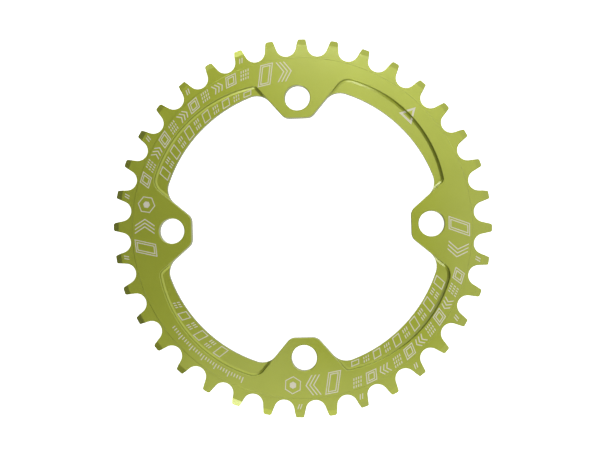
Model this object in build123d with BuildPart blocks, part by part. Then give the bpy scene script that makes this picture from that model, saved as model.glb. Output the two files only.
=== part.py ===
from build123d import *
import os
from math import cos, pi, radians, sin, tan

# Bicycle chainring with wide and narrow teeth in turn, machined from one aluminium plate.
# It lies on its back face at z = 0, front face up, with its axis on +Z.
# The bolt tabs point along +X, +Y, -X and -Y. Lengths are in millimetres, angles in degrees.

# Chain that the teeth carry
chain_pitch = 12.7
roller_diameter = 7.75
link_plate_height = 8.4
link_plate_clearance = 0.1

# Teeth, all centred on the middle plane of the wide ones
tooth_count = 36
tooth_clocking = 1.77
seat_opening = 0.22
flank_angle = 12.1
tip_corner = 0.45
tip_land = 0.9
wide_thickness = 3.8
wide_tip_rise = 2.93
wide_bevel_length = 2.45
narrow_thickness = 2.1
narrow_tip_rise = 3.1
narrow_bevel_length = 2.2

# Plate: its full thickness ends in a bevelled shoulder just inside the teeth
plate_thickness = 4.0
shoulder_land = 0.4
rim_width = 5.3

# Bolt tabs and the opening between them
bolt_count = 4
bolt_circle_diameter = 104.0
bolt_hole_diameter = 10.2
bolt_hole_chamfer = 0.25
tab_reach = 8.0
tab_end_width = 10.7
tab_flank_angle = 40.5
tab_corner_radius = 4.0
tab_root_radius = 7.0
inner_edge_offset = 4.6
edge_break = 0.2

# Ledges milled into the front between the tabs, each along an arc off the ring's centre
ledge_depth = 1.7
ledge_foot_radius = 1.0
ledge_foot_slope = 22.5
ledge_centre_x = 6.0
ledge_centre_y = 9.0
ledge_start_radius = 5.5
ledge_end_radius = 2.2

# Radii that follow from those sizes
half_pitch_angle = 180 / tooth_count
pitch_radius = chain_pitch / (2 * sin(pi / tooth_count))
root_radius = pitch_radius - roller_diameter / 2
seat_radius = roller_diameter / 2 + seat_opening
seat_centre_radius = root_radius + seat_radius
relief_radius = link_plate_height / 2 + link_plate_clearance
relief_floor_radius = pitch_radius - relief_radius
shoulder_radius = relief_floor_radius - shoulder_land
wide_tip_radius = pitch_radius + wide_tip_rise
narrow_tip_radius = pitch_radius + narrow_tip_rise
clear_radius = narrow_tip_radius + roller_diameter
bolt_circle_radius = bolt_circle_diameter / 2
inner_radius = bolt_circle_radius + inner_edge_offset
tab_end_radius = bolt_circle_radius - tab_reach
ledge_radius = shoulder_radius - rim_width - (ledge_centre_x**2 + ledge_centre_y**2) ** 0.5

# Two flats that stand in for the round foot of a ledge's wall
foot_slope = radians(ledge_foot_slope)
steep_foot_width = ledge_foot_radius * tan(foot_slope)
gentle_foot_width = ledge_foot_radius - steep_foot_width
gentle_foot_cut = ledge_foot_radius * (1 - cos(2 * foot_slope)) / cos(foot_slope)

# Levels and directions of the teeth
shoulder_bevel = plate_thickness - wide_thickness
tooth_middle = wide_thickness / 2
relief_depth = (wide_thickness - narrow_thickness) / 2
wide_angle = 90 - tooth_clocking
gap_angle = wide_angle + half_pitch_angle
narrow_angle = gap_angle + half_pitch_angle

# A gap is a round roller seat that widens outwards along the flanks of the teeth beside it
gap_flank = radians(flank_angle + half_pitch_angle)
gap_start_x = -seat_radius * sin(gap_flank)
gap_start_y = seat_radius * cos(gap_flank)
gap_end_x = clear_radius - seat_centre_radius
gap_end_y = gap_start_y + (gap_end_x - gap_start_x) * tan(gap_flank)

with BuildSketch() as teeth:
    RegularPolygon(narrow_tip_radius, tooth_count, major_radius=False, rotation=gap_angle)
    with PolarLocations(seat_centre_radius, tooth_count, start_angle=gap_angle):
        Circle(seat_radius, mode=Mode.SUBTRACT)
        Polygon(
            (gap_start_x, -gap_start_y),
            (gap_end_x, -gap_end_y),
            (gap_end_x, gap_end_y),
            (gap_start_x, gap_start_y),
            align=None,
            mode=Mode.SUBTRACT,
        )
    chamfer(teeth.vertices().group_by(SortBy.DISTANCE)[-1], tip_corner)
    Circle(shoulder_radius - rim_width / 2, mode=Mode.SUBTRACT)

# The chain's inner links need room beside the narrow teeth and round every roller
slice_x = clear_radius * cos(radians(half_pitch_angle))
slice_y = clear_radius * sin(radians(half_pitch_angle))

with BuildSketch() as relief:
    with PolarLocations(0, tooth_count // 2, start_angle=narrow_angle):
        Polygon((0, 0), (slice_x, -slice_y), (slice_x, slice_y), align=None)
    Circle(relief_floor_radius, mode=Mode.SUBTRACT)
    with PolarLocations(pitch_radius, tooth_count, start_angle=gap_angle):
        Circle(relief_radius)


def tip_waste(thickness, tip_radius, bevel_length):
    """What is milled off the end of one tooth on +X: a bevel on each face and all beyond the tip."""
    bevel_drop = (thickness - tip_land) / 2
    outer_x = tip_radius - 2 * bevel_length
    outer_z = tip_land / 2 + 2 * bevel_drop
    with BuildPart() as waste:
        with BuildSketch(Plane.XZ):
            Polygon(
                (outer_x, tooth_middle + outer_z),
                (tip_radius, tooth_middle + tip_land / 2),
                (tip_radius, tooth_middle - tip_land / 2),
                (outer_x, tooth_middle - outer_z),
                (clear_radius, tooth_middle - outer_z),
                (clear_radius, tooth_middle + outer_z),
                align=None,
            )
        extrude(amount=chain_pitch / 4, both=True)
    return waste.part


wide_tip_waste = tip_waste(wide_thickness, wide_tip_radius, wide_bevel_length)
narrow_tip_waste = tip_waste(narrow_thickness, narrow_tip_radius, narrow_bevel_length)

# Opening inside the ring, with tabs that narrow towards the axis
tab_back_radius = shoulder_radius
tab_end_half = tab_end_width / 2
tab_back_half = tab_end_half + (tab_back_radius - tab_end_radius) * tan(radians(tab_flank_angle))

with BuildSketch() as opening:
    Circle(inner_radius)
    with PolarLocations(0, bolt_count):
        Polygon(
            (tab_end_radius, -tab_end_half),
            (tab_back_radius, -tab_back_half),
            (tab_back_radius, tab_back_half),
            (tab_end_radius, tab_end_half),
            align=None,
            mode=Mode.SUBTRACT,
        )
    fillet(opening.vertices().group_by(SortBy.DISTANCE)[-1], tab_root_radius)
    fillet(opening.vertices().group_by(SortBy.DISTANCE)[0], tab_corner_radius)

# One ledge, from the flank line of the +Y tab to that of the +X tab
with BuildSketch() as ledge:
    with Locations((ledge_centre_x, ledge_centre_y)):
        Circle(ledge_radius)
    Polygon(
        (tab_end_half, tab_end_radius),
        (tab_back_half, tab_back_radius),
        (tab_back_radius, tab_back_radius),
        (tab_back_radius, tab_back_half),
        (tab_end_radius, tab_end_half),
        align=None,
        mode=Mode.INTERSECT,
    )
    fillet(ledge.vertices().sort_by(Axis.Y)[-1], ledge_start_radius)
    fillet(ledge.vertices().sort_by(Axis.X)[-1], ledge_end_radius)

# What is milled off for it, with a steep and then a gentle flat along the foot of the wall
with BuildPart() as ledge_waste:
    with BuildSketch(Plane.XY.offset(plate_thickness)):
        add(ledge.sketch)
    extrude(amount=-ledge_depth)
    floor = ledge_waste.faces().sort_by(Axis.Z)[0]
    chamfer(floor.edges(), steep_foot_width, ledge_foot_radius, reference=floor)
    floor = ledge_waste.faces().sort_by(Axis.Z)[0]
    chamfer(floor.edges(), gentle_foot_width, gentle_foot_cut, reference=floor)

with BuildPart() as chainring:
    # Plate with its opening and its bevelled shoulder
    with BuildSketch():
        Circle(shoulder_radius)
        add(opening.sketch, mode=Mode.SUBTRACT)
    extrude(amount=plate_thickness)
    chamfer(chainring.faces().sort_by(Axis.Z)[-1].outer_wire().edges(), shoulder_bevel)

    # Ledges in the front, and a broken edge along the inside of the front face
    with PolarLocations(0, bolt_count):
        add(ledge_waste.part, mode=Mode.SUBTRACT)
    chamfer(chainring.faces().sort_by(Axis.Z)[-1].inner_wires()[0].edges(), edge_break)

    # Bolt holes
    with PolarLocations(bolt_circle_radius, bolt_count):
        Hole(bolt_hole_diameter / 2)
    chamfer(chainring.edges(Select.LAST).filter_by(GeomType.CIRCLE), bolt_hole_chamfer)

    # Teeth at the wide thickness, then the link reliefs on both faces and the bevelled tips
    with BuildSketch():
        add(teeth.sketch)
    extrude(amount=wide_thickness)
    with BuildSketch(Plane.XY.offset(wide_thickness)):
        add(relief.sketch)
    extrude(amount=-relief_depth, mode=Mode.SUBTRACT)
    with BuildSketch():
        add(relief.sketch)
    extrude(amount=relief_depth, mode=Mode.SUBTRACT)
    with PolarLocations(0, tooth_count // 2, start_angle=wide_angle):
        add(wide_tip_waste, mode=Mode.SUBTRACT)
    with PolarLocations(0, tooth_count // 2, start_angle=narrow_angle):
        add(narrow_tip_waste, mode=Mode.SUBTRACT)

chainring.part.label = "chainring"
os.makedirs("parts", exist_ok=True)
export_step(chainring.part, "parts/chainring.step")
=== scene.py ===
import math

import bmesh
import bpy
from mathutils import Matrix, Vector


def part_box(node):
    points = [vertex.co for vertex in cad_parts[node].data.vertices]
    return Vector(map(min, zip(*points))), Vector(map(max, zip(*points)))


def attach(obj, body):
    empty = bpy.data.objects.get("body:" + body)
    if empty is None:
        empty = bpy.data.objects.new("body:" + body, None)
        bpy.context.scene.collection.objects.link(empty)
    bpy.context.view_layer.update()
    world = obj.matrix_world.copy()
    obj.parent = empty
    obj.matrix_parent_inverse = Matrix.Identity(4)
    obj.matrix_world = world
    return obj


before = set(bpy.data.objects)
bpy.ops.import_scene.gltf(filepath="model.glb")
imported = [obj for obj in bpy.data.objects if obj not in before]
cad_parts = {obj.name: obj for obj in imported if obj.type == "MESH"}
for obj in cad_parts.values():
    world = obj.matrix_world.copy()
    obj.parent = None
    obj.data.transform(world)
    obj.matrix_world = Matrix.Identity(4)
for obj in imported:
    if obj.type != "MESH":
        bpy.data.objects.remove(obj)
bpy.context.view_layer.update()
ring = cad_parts["chainring"]

# The ring's sizes are in millimetres, and MM turns them to metres. Directions round the ring
# are in degrees clockwise from the +Y bolt tab, as seen from the front.
MM = 0.001

# Levels of the faces that carry marks
FRONT_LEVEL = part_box("chainring")[1].z / MM
LEDGE_DEPTH = 1.7
LEDGE_LEVEL = FRONT_LEVEL - LEDGE_DEPTH
WIDE_TOOTH_LEVEL = 3.8

# Radii of the rows of marks, and how far apart the marks are along them
LEDGE_INNER_EDGE = 56.8
LEDGE_PITCH = 4.6
TAB_ROW = 62.9
TAB_PITCH = 8.2
RIM_ROW = 65.4
RIM_PITCH = 5.9
SCALE_ROW = 64.0
SCALE_PITCH = 1.2
TOOTH_ROW = 71.3

# A ledge's outer wall is an arc off the ring's centre, repeated from tab to tab. Its foot starts
# with a gentle slope, and its top edge is broken.
WALL_ARC_RADIUS = 52.04
WALL_ARC_OFFSET = 10.82
WALL_ARC_DIRECTION = 33.7
WALL_FOOT = 1.0
WALL_FOOT_SLOPE = 22.5
WALL_TOP = 0.2
TAB_SPACING = 90

# Laser marks: how deep they go and how far they stand out, the width of a line and the lean
MARK_SINK = 0.05
MARK_PROUD = 0.012
LINE = 0.36
LEAN = 0.36

# Sizes of the marks. A dash fills a share of its row's height, and a badge's middle a share of
# its radius.
DASH_WIDTH = 0.42
DASH_PITCH = 1.0
DASH_SHARE = 0.66
CHEVRON_WIDTH = 0.5
CHEVRON_PITCH = 1.5
BADGE_MIDDLE_SHARE = 0.4
RIM_BAR_WIDTH = 4.6
RIM_MARK_HEIGHT = 4.2
RIM_CHEVRON_HEIGHT = 3.6
LEDGE_BAR_WIDTH = 3.4
LEDGE_MARGIN = 0.3
TAB_BAR_WIDTH = 5.2
TAB_BAR_HEIGHT = 8.4
TAB_CHEVRON_HEIGHT = 8.0
TAB_BADGE_RADIUS = 3.6
TOOTH_DASH_ROW = 3.0
SCALE_LINE = 0.4
SCALE_SHORT = 1.4
SCALE_LONG = 2.4

# Hollow triangle across a ledge's wall. Its three parts are on the ledge, on the slope of the
# wall's foot and on the rim, and their ends are measured outwards from the wall.
TRIANGLE_DIRECTION = 45.4
TRIANGLE_ROW = 62.2
TRIANGLE_RADIUS = 3.95
TRIANGLE_LINE = 0.8
TRIANGLE_REACH = 4
SLOPE_START = -WALL_FOOT - 0.06
SLOPE_END = -0.33
PART_GAP = 0.02

# Wide teeth, and the stretches of the ring that carry the pattern
FIRST_WIDE_TOOTH = 1.77
WIDE_TOOTH_SPACING = 20
TOOTH_STRETCHES = ((259, 357), (88, 187))
RIM_STRETCHES = ((286, 344), (106, 164))
LEDGE_STRETCHES = ((291, 342), (111, 162), (212, 242))
TAB_STRETCHES = ((260, 284), (345, 359), (87, 104), (166, 188))
SCALE_STRETCH = (202, 234)

# Camera: above the front face, a little off the axis. Its turn is in degrees, its lens in
# millimetres.
CAMERA_PLACE = Vector((27.33, -15.94, 444.04)) * MM
CAMERA_TURN = (1.858, 3.641, -1.548)
CAMERA_LENS = 66.32

# Studio, in metres: a white tent with softboxes all round, dark cards on the left and one behind
# the lens. Seen in the ring, the table below it is darker than the tent, and the one fades into
# the other between two heights of the unit sphere.
TENT_LIGHT = 0.86
TABLE_LIGHT = 0.5
TENT_HEIGHT = -0.3
TABLE_HEIGHT = -0.9
FLOOR_GLOW = 0.9
FLOOR_SIDE = 6
FLOOR_DROP = 0.02 * MM
LENS_CARD_LEVEL = 0.45
LENS_CARD_WIDTH = 0.116
LENS_CARD_DEPTH = 0.158

# Dark cards: name, direction, distance, width, and the heights of their lower and upper edges.
# The gap between the low and the high one lights the foot of a ledge's wall across the ring.
FELT_CARDS = (
    ("low_card", 284, 0.4, 0.74, 0.0, 0.53),
    ("high_card", 288, 0.4, 0.84, 0.75, 4.6),
    ("short_card", 255, 0.52, 0.74, 0.0, 1.06),
)

# Softboxes: name, direction, degrees off straight up, distance, size and power in watts
SOFTBOXES = (
    ("softbox_low", 202, 69, 1.0, (0.13, 0.26), 0.55),
    ("softbox_high", 334, 69, 1.0, (0.13, 0.26), 0.7),
    ("softbox_top", 7, 19, 1.3, (0.34, 0.15), 0.91),
    ("softbox_front", 186, 27, 1.3, (0.4, 0.4), 1.0),
    ("softbox_strip", 32, 86, 1.2, (2.0, 0.16), 1.1),
    ("softbox_small_front", 208, 29, 0.4, (0.03, 0.03), 0.015),
    ("softbox_small_low", 207, 41, 0.44, (0.045, 0.045), 0.025),
    ("softbox_small_high", 336, 45, 0.44, (0.045, 0.045), 0.035),
)


def linear(hex_colour):
    """An sRGB hex colour as linear red, green, blue and alpha."""
    parts = [int(hex_colour[i : i + 2], 16) / 255 for i in (1, 3, 5)]
    return (*[c / 12.92 if c <= 0.04045 else ((c + 0.055) / 1.055) ** 2.4 for c in parts], 1.0)


def node(tree, kind, values=None, links=None, **settings):
    """Adds one shader node with its settings and socket values, and links what feeds it."""
    made = tree.nodes.new(kind)
    for name, value in settings.items():
        setattr(made, name, value)
    for name, value in (values or {}).items():
        made.inputs[name].default_value = value
    for name, source in (links or {}).items():
        tree.links.new(source, made.inputs[name])
    return made


def new_material(name):
    """A material with no nodes yet, and its node tree."""
    material = bpy.data.materials.new(name)
    material.use_nodes = True
    material.node_tree.nodes.clear()
    return material, material.node_tree


def anodised_aluminium():
    """Aluminium plate, turned and milled, then etched matt and anodised with a lime dye.

    The dyed oxide colours what the metal reflects, and its clear surface adds a paler gloss.
    Fine turning lines and etched grain break the gloss up, and the dye varies a little.
    """
    material, tree = new_material("anodised_aluminium_turned")
    place = node(tree, "ShaderNodeTexCoord").outputs["Object"]
    across = node(
        tree, "ShaderNodeVectorMath", {1: (1, 1, 0)}, {0: place}, operation="MULTIPLY"
    ).outputs["Vector"]
    radius = node(tree, "ShaderNodeVectorMath", None, {0: across}, operation="LENGTH")

    # Turning lines are about 0.1 mm apart, and are drawn at 0.5 mm so that they show
    lines = node(
        tree,
        "ShaderNodeTexNoise",
        {"Scale": 1 / (0.5 * MM), "Detail": 2.0},
        {"W": radius.outputs["Value"]},
        noise_dimensions="1D",
    ).outputs["Fac"]

    # The etched grain is about 0.05 mm, and is drawn at 0.4 mm so that it shows
    grain = node(
        tree, "ShaderNodeTexNoise", {"Scale": 1 / (0.4 * MM), "Detail": 3.0}, {"Vector": place}
    ).outputs["Fac"]

    # The dye takes a little more or less in patches some 15 mm across
    patches = node(
        tree, "ShaderNodeTexNoise", {"Scale": 1 / (15 * MM), "Detail": 2.0}, {"Vector": place}
    ).outputs["Fac"]
    dye = node(
        tree,
        "ShaderNodeMix",
        {"A": linear("#a3ad2c"), "B": linear("#afb936")},
        {"Factor": patches},
        data_type="RGBA",
    ).outputs["Result"]

    roughness = node(
        tree,
        "ShaderNodeMapRange",
        {"From Min": 0.3, "From Max": 0.7, "To Min": 0.34, "To Max": 0.42},
        {"Value": grain},
    ).outputs["Result"]
    height = node(
        tree, "ShaderNodeMath", None, {0: lines, 1: grain}, operation="ADD"
    ).outputs["Value"]
    surface = node(
        tree, "ShaderNodeBump", {"Strength": 1.0, "Distance": 0.004 * MM}, {"Height": height}
    ).outputs["Normal"]
    shader = node(
        tree,
        "ShaderNodeBsdfPrincipled",
        {"Metallic": 1.0, "Coat Weight": 1.0, "Coat IOR": 1.72, "Coat Roughness": 0.14},
        {
            "Base Color": dye,
            "Roughness": roughness,
            "Normal": surface,
            "Coat Normal": surface,
        },
    )
    node(tree, "ShaderNodeOutputMaterial", None, {"Surface": shader.outputs["BSDF"]})
    return material


def laser_bleached_oxide():
    """Anodised face where a laser has bleached the dye out.

    The bare oxide is pale and a little chalky, and the metal under it shines through.
    """
    material, tree = new_material("anodised_aluminium_laser_bleached")
    place = node(tree, "ShaderNodeTexCoord").outputs["Object"]

    # The laser's spots are about 0.05 mm, and their speckle is drawn at 0.5 mm so that it shows
    speckle = node(
        tree, "ShaderNodeTexNoise", {"Scale": 1 / (0.5 * MM), "Detail": 3.0}, {"Vector": place}
    ).outputs["Fac"]
    tone = node(
        tree,
        "ShaderNodeMix",
        {"A": linear("#d2ceb6"), "B": linear("#e2decb")},
        {"Factor": speckle},
        data_type="RGBA",
    ).outputs["Result"]
    shader = node(
        tree, "ShaderNodeBsdfPrincipled", {"Metallic": 0.8, "Roughness": 0.45}, {"Base Color": tone}
    )
    node(tree, "ShaderNodeOutputMaterial", None, {"Surface": shader.outputs["BSDF"]})
    return material


def studio_material(name, hex_colour, glow=0.0):
    """A matt finish for the floor and the cards, which may glow."""
    material, tree = new_material(name)
    shader = node(
        tree,
        "ShaderNodeBsdfPrincipled",
        {
            "Base Color": linear(hex_colour),
            "Roughness": 0.9,
            "Emission Color": linear("#ffffff"),
            "Emission Strength": glow,
        },
    )
    node(tree, "ShaderNodeOutputMaterial", None, {"Surface": shader.outputs["BSDF"]})
    return material


def outwards(direction):
    """The turn that brings +Y to a direction round the ring."""
    return Matrix.Rotation(-math.radians(direction), 4, "Z")


def on_ring(direction, radius, level):
    """Where a mark drawn flat round the origin goes: its +Y outwards, its +X clockwise."""
    return outwards(direction) @ Matrix.Translation((0, radius, level))


def spread(start, end, radius, pitch):
    """Evenly spaced directions along an arc, about a pitch apart."""
    count = round(math.radians(end - start) * radius / pitch)
    return [start + (end - start) * (i + 0.5) / count for i in range(count)]


def wall_radius(direction):
    """How far the ledge's outer wall is from the ring's axis in a direction."""
    away = math.radians(direction % TAB_SPACING - WALL_ARC_DIRECTION)
    across = WALL_ARC_OFFSET * math.sin(away)
    return WALL_ARC_OFFSET * math.cos(away) + math.sqrt(WALL_ARC_RADIUS**2 - across**2)


def bar(marks, width, height, lean=LEAN, rows=1):
    """A flat leaning bar round the origin."""
    corners = bmesh.ops.create_grid(marks, x_segments=1, y_segments=rows, size=0.5)["verts"]
    slant = Matrix(((width, lean * height, 0), (0, height, 0), (0, 0, 1))).to_4x4()
    bmesh.ops.transform(marks, matrix=slant, verts=corners)
    return corners


def chevron(marks, width, height):
    """A flat bar bent to a point in its middle."""
    corners = bar(marks, width, height, lean=0, rows=2)
    middle = [corner for corner in corners if abs(corner.co.y) < height / 4]
    bmesh.ops.translate(marks, vec=(height / 3, 0, 0), verts=middle)
    return corners


def polygon(marks, sides, radius):
    """A flat polygon round the origin, with a corner outwards."""
    return bmesh.ops.create_circle(marks, cap_ends=True, segments=sides, radius=radius)["verts"]


def hollow(marks, corners, line=LINE):
    """Leaves only a line along the edge of a flat shape."""
    face = corners[0].link_faces[0]
    edging = bmesh.ops.inset_region(
        marks, faces=[face], thickness=line, use_boundary=True, use_even_offset=True
    )
    bmesh.ops.delete(marks, geom=[face], context="FACES_ONLY")
    return list({corner for strip in edging["faces"] for corner in strip.verts})


def put(marks, corners, place, along=0, across=0):
    """Moves a flat shape to its place, shifted along and across its row."""
    shift = Matrix.Translation((along, across, 0))
    bmesh.ops.transform(marks, matrix=place @ shift, verts=corners)


def framed_bar(marks, place, width, height):
    """A hollow bar inside a larger one."""
    put(marks, hollow(marks, bar(marks, width, height)), place)
    put(marks, hollow(marks, bar(marks, width - 5 * LINE, height - 4 * LINE)), place)


def dash_block(marks, place, columns, rows, height):
    """Short leaning dashes in rows."""
    row_pitch = height / rows
    for row in range(rows):
        across = (row - (rows - 1) / 2) * row_pitch
        for column in range(columns):
            along = (column - (columns - 1) / 2) * DASH_PITCH + LEAN * across
            put(marks, bar(marks, DASH_WIDTH, row_pitch * DASH_SHARE), place, along, across)


def chevron_row(marks, place, count, height):
    """Chevrons one behind the other, round their place."""
    for i in range(count):
        along = (i - (count - 1) / 2) * CHEVRON_PITCH - height / 6
        put(marks, chevron(marks, CHEVRON_WIDTH, height), place, along)


def hexagon_badge(marks, place, radius):
    """A hollow hexagon round a small solid one."""
    put(marks, hollow(marks, polygon(marks, 6, radius)), place)
    put(marks, polygon(marks, 6, radius * BADGE_MIDDLE_SHARE), place)


def rim_marks():
    """Framed bars, dashes and chevrons in turn."""
    marks = bmesh.new()
    for start, end in RIM_STRETCHES:
        for i, direction in enumerate(spread(start, end, RIM_ROW, RIM_PITCH)):
            place = on_ring(direction, RIM_ROW, FRONT_LEVEL)
            if i % 3 == 0:
                framed_bar(marks, place, RIM_BAR_WIDTH, RIM_MARK_HEIGHT)
            elif i % 3 == 1:
                dash_block(marks, place, 4, 3, RIM_MARK_HEIGHT)
            else:
                chevron_row(marks, place, 3, RIM_CHEVRON_HEIGHT)
    return marks


def ledge_marks():
    """Hollow bars and dashes in turn, as high as the ledge's floor is wide there."""
    marks = bmesh.new()
    for start, end in LEDGE_STRETCHES:
        for i, direction in enumerate(spread(start, end, LEDGE_INNER_EDGE, LEDGE_PITCH)):
            width = wall_radius(direction) - WALL_FOOT - LEDGE_INNER_EDGE
            height = width - 2 * LEDGE_MARGIN
            place = on_ring(direction, LEDGE_INNER_EDGE + width / 2, LEDGE_LEVEL)
            if i % 2 == 0:
                put(marks, hollow(marks, bar(marks, LEDGE_BAR_WIDTH, height)), place)
            else:
                dash_block(marks, place, 3, 2, height)
    return marks


def tab_marks():
    """Larger marks, where the tabs widen the face."""
    marks = bmesh.new()
    for start, end in TAB_STRETCHES:
        for i, direction in enumerate(spread(start, end, TAB_ROW, TAB_PITCH)):
            place = on_ring(direction, TAB_ROW, FRONT_LEVEL)
            if i % 3 == 0:
                framed_bar(marks, place, TAB_BAR_WIDTH, TAB_BAR_HEIGHT)
            elif i % 3 == 1:
                chevron_row(marks, place, 3, TAB_CHEVRON_HEIGHT)
            else:
                hexagon_badge(marks, place, TAB_BADGE_RADIUS)
    return marks


def tooth_marks():
    """A pair of dashes on each wide tooth of the marked stretches."""
    marks = bmesh.new()
    for start, end in TOOTH_STRETCHES:
        for i in range(360 // WIDE_TOOTH_SPACING):
            direction = FIRST_WIDE_TOOTH + i * WIDE_TOOTH_SPACING
            if start < direction < end:
                place = on_ring(direction, TOOTH_ROW, WIDE_TOOTH_LEVEL)
                dash_block(marks, place, 2, 1, TOOTH_DASH_ROW)
    return marks


def scale_marks():
    """A graduated scale, with every fifth line longer."""
    marks = bmesh.new()
    for i, direction in enumerate(spread(*SCALE_STRETCH, SCALE_ROW, SCALE_PITCH)):
        length = SCALE_LONG if i % 5 == 0 else SCALE_SHORT
        place = on_ring(direction, SCALE_ROW + length / 2, FRONT_LEVEL)
        put(marks, bar(marks, SCALE_LINE, length, lean=0), place)
    return marks


def triangle_part(level, start, end, slope=0):
    """Part of a hollow triangle that points outwards, across a ledge's wall.

    It reaches from start to end, measured outwards from the wall, and slopes up from its start.
    """
    wall = wall_radius(TRIANGLE_DIRECTION)
    on_wall = outwards(TRIANGLE_DIRECTION) @ Vector((0, wall, level))
    arc_centre = outwards(WALL_ARC_DIRECTION) @ Vector((0, WALL_ARC_OFFSET, level))
    away = (on_wall - arc_centre).normalized()
    marks = bmesh.new()
    triangle = hollow(marks, polygon(marks, 3, TRIANGLE_RADIUS), TRIANGLE_LINE)
    put(marks, triangle, on_ring(TRIANGLE_DIRECTION, TRIANGLE_ROW, level))
    for place, beyond in ((start, -away), (end, away)):
        bmesh.ops.bisect_plane(
            marks,
            geom=marks.verts[:] + marks.edges[:] + marks.faces[:],
            plane_co=on_wall + away * place,
            plane_no=beyond,
            clear_outer=True,
        )
    tilt = Matrix.Rotation(math.radians(slope), 3, away.cross(Vector((0, 0, 1))))
    bmesh.ops.rotate(marks, cent=on_wall + away * start, matrix=tilt, verts=marks.verts)
    return marks


def finished_marks(name, marks, material):
    """Gives flat marks their thickness and makes them a piece of the ring."""
    marks.normal_update()
    downward = [face for face in marks.faces if face.normal.z < 0]
    bmesh.ops.reverse_faces(marks, faces=downward)
    bmesh.ops.translate(marks, vec=(0, 0, MARK_PROUD), verts=marks.verts)
    bmesh.ops.solidify(marks, geom=marks.faces[:], thickness=MARK_SINK + MARK_PROUD)
    bmesh.ops.recalc_face_normals(marks, faces=marks.faces)
    bmesh.ops.scale(marks, vec=(MM, MM, MM), verts=marks.verts)
    mesh = bpy.data.meshes.new(name)
    marks.to_mesh(mesh)
    marks.free()
    mesh.materials.append(material)
    piece = bpy.data.objects.new(name, mesh)
    bpy.context.scene.collection.objects.link(piece)
    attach(piece, "root")


def plain_sheet(name, width, depth, place, material):
    """A flat sheet of the studio, with its place in its mesh."""
    sheet = bmesh.new()
    bmesh.ops.create_grid(sheet, x_segments=1, y_segments=1, size=0.5)
    bmesh.ops.scale(sheet, vec=(width, depth, 1), verts=sheet.verts)
    bmesh.ops.transform(sheet, matrix=place, verts=sheet.verts)
    mesh = bpy.data.meshes.new(name)
    sheet.to_mesh(mesh)
    sheet.free()
    mesh.materials.append(material)
    made = bpy.data.objects.new(name, mesh)
    bpy.context.scene.collection.objects.link(made)
    return made


def felt_card(name, direction, distance, width, lower, upper, material):
    """An upright dark card, square to the ring's axis."""
    place = (
        outwards(direction)
        @ Matrix.Translation((0, distance, (lower + upper) / 2))
        @ Matrix.Rotation(math.pi / 2, 4, "X")
    )
    plain_sheet(name, width, upper - lower, place, material).visible_camera = False


def softbox(name, direction, polar, distance, size, power):
    """A soft light aimed at the ring, polar degrees off straight up."""
    tilt = Matrix.Rotation(-math.radians(polar), 4, "X")
    towards = outwards(direction) @ tilt @ Vector((0, 0, 1))
    data = bpy.data.lights.new(name, "AREA")
    data.shape = "RECTANGLE"
    data.size, data.size_y = size
    data.energy = power
    lamp = bpy.data.objects.new(name, data)
    lamp.location = towards * distance
    lamp.rotation_euler = towards.to_track_quat("Z", "Y").to_euler()
    lamp.visible_camera = False
    bpy.context.scene.collection.objects.link(lamp)


ring.data.materials.clear()
ring.data.materials.append(anodised_aluminium())
bleached = laser_bleached_oxide()
finished_marks("rim_marks", rim_marks(), bleached)
finished_marks("ledge_marks", ledge_marks(), bleached)
finished_marks("tab_marks", tab_marks(), bleached)
finished_marks("tooth_marks", tooth_marks(), bleached)
finished_marks("scale_marks", scale_marks(), bleached)
ledge_part = triangle_part(LEDGE_LEVEL, -TRIANGLE_REACH, SLOPE_START - PART_GAP)
foot_part = triangle_part(LEDGE_LEVEL, SLOPE_START, SLOPE_END, WALL_FOOT_SLOPE)
rim_part = triangle_part(FRONT_LEVEL, WALL_TOP + PART_GAP, TRIANGLE_REACH)
finished_marks("triangle_on_ledge", ledge_part, bleached)
finished_marks("triangle_on_foot", foot_part, bleached)
finished_marks("triangle_on_rim", rim_part, bleached)

paper = studio_material("white_paper", "#f4f4f2", FLOOR_GLOW)
floor_place = Matrix.Translation((0, 0, -FLOOR_DROP))
floor = plain_sheet("floor", FLOOR_SIDE, FLOOR_SIDE, floor_place, paper)
floor.visible_glossy = False
felt = studio_material("grey_felt", "#646464")
for card in FELT_CARDS:
    felt_card(*card, felt)
lens_card_place = Matrix.Translation((CAMERA_PLACE.x, CAMERA_PLACE.y, LENS_CARD_LEVEL))
lens_card = plain_sheet("lens_card", LENS_CARD_WIDTH, LENS_CARD_DEPTH, lens_card_place, felt)
lens_card.visible_camera = False
for light in SOFTBOXES:
    softbox(*light)

world = bpy.data.worlds.new("white_tent")
world.use_nodes = True
tree = world.node_tree
tree.nodes.clear()
direction = node(tree, "ShaderNodeTexCoord").outputs["Generated"]
upwards = node(tree, "ShaderNodeSeparateXYZ", None, {"Vector": direction}).outputs["Z"]
glow = node(
    tree,
    "ShaderNodeMapRange",
    {
        "From Min": TABLE_HEIGHT,
        "From Max": TENT_HEIGHT,
        "To Min": TABLE_LIGHT,
        "To Max": TENT_LIGHT,
    },
    {"Value": upwards},
).outputs["Result"]
backdrop = node(
    tree, "ShaderNodeBackground", {"Color": linear("#ffffff")}, {"Strength": glow}
).outputs["Background"]
node(tree, "ShaderNodeOutputWorld", None, {"Surface": backdrop})
bpy.context.scene.world = world
bpy.context.scene.view_settings.view_transform = "Standard"

camera_data = bpy.data.cameras.new("camera")
camera_data.lens = CAMERA_LENS
camera = bpy.data.objects.new("camera", camera_data)
camera.location = CAMERA_PLACE
camera.rotation_euler = [math.radians(angle) for angle in CAMERA_TURN]
bpy.context.scene.collection.objects.link(camera)
bpy.context.scene.camera = camera
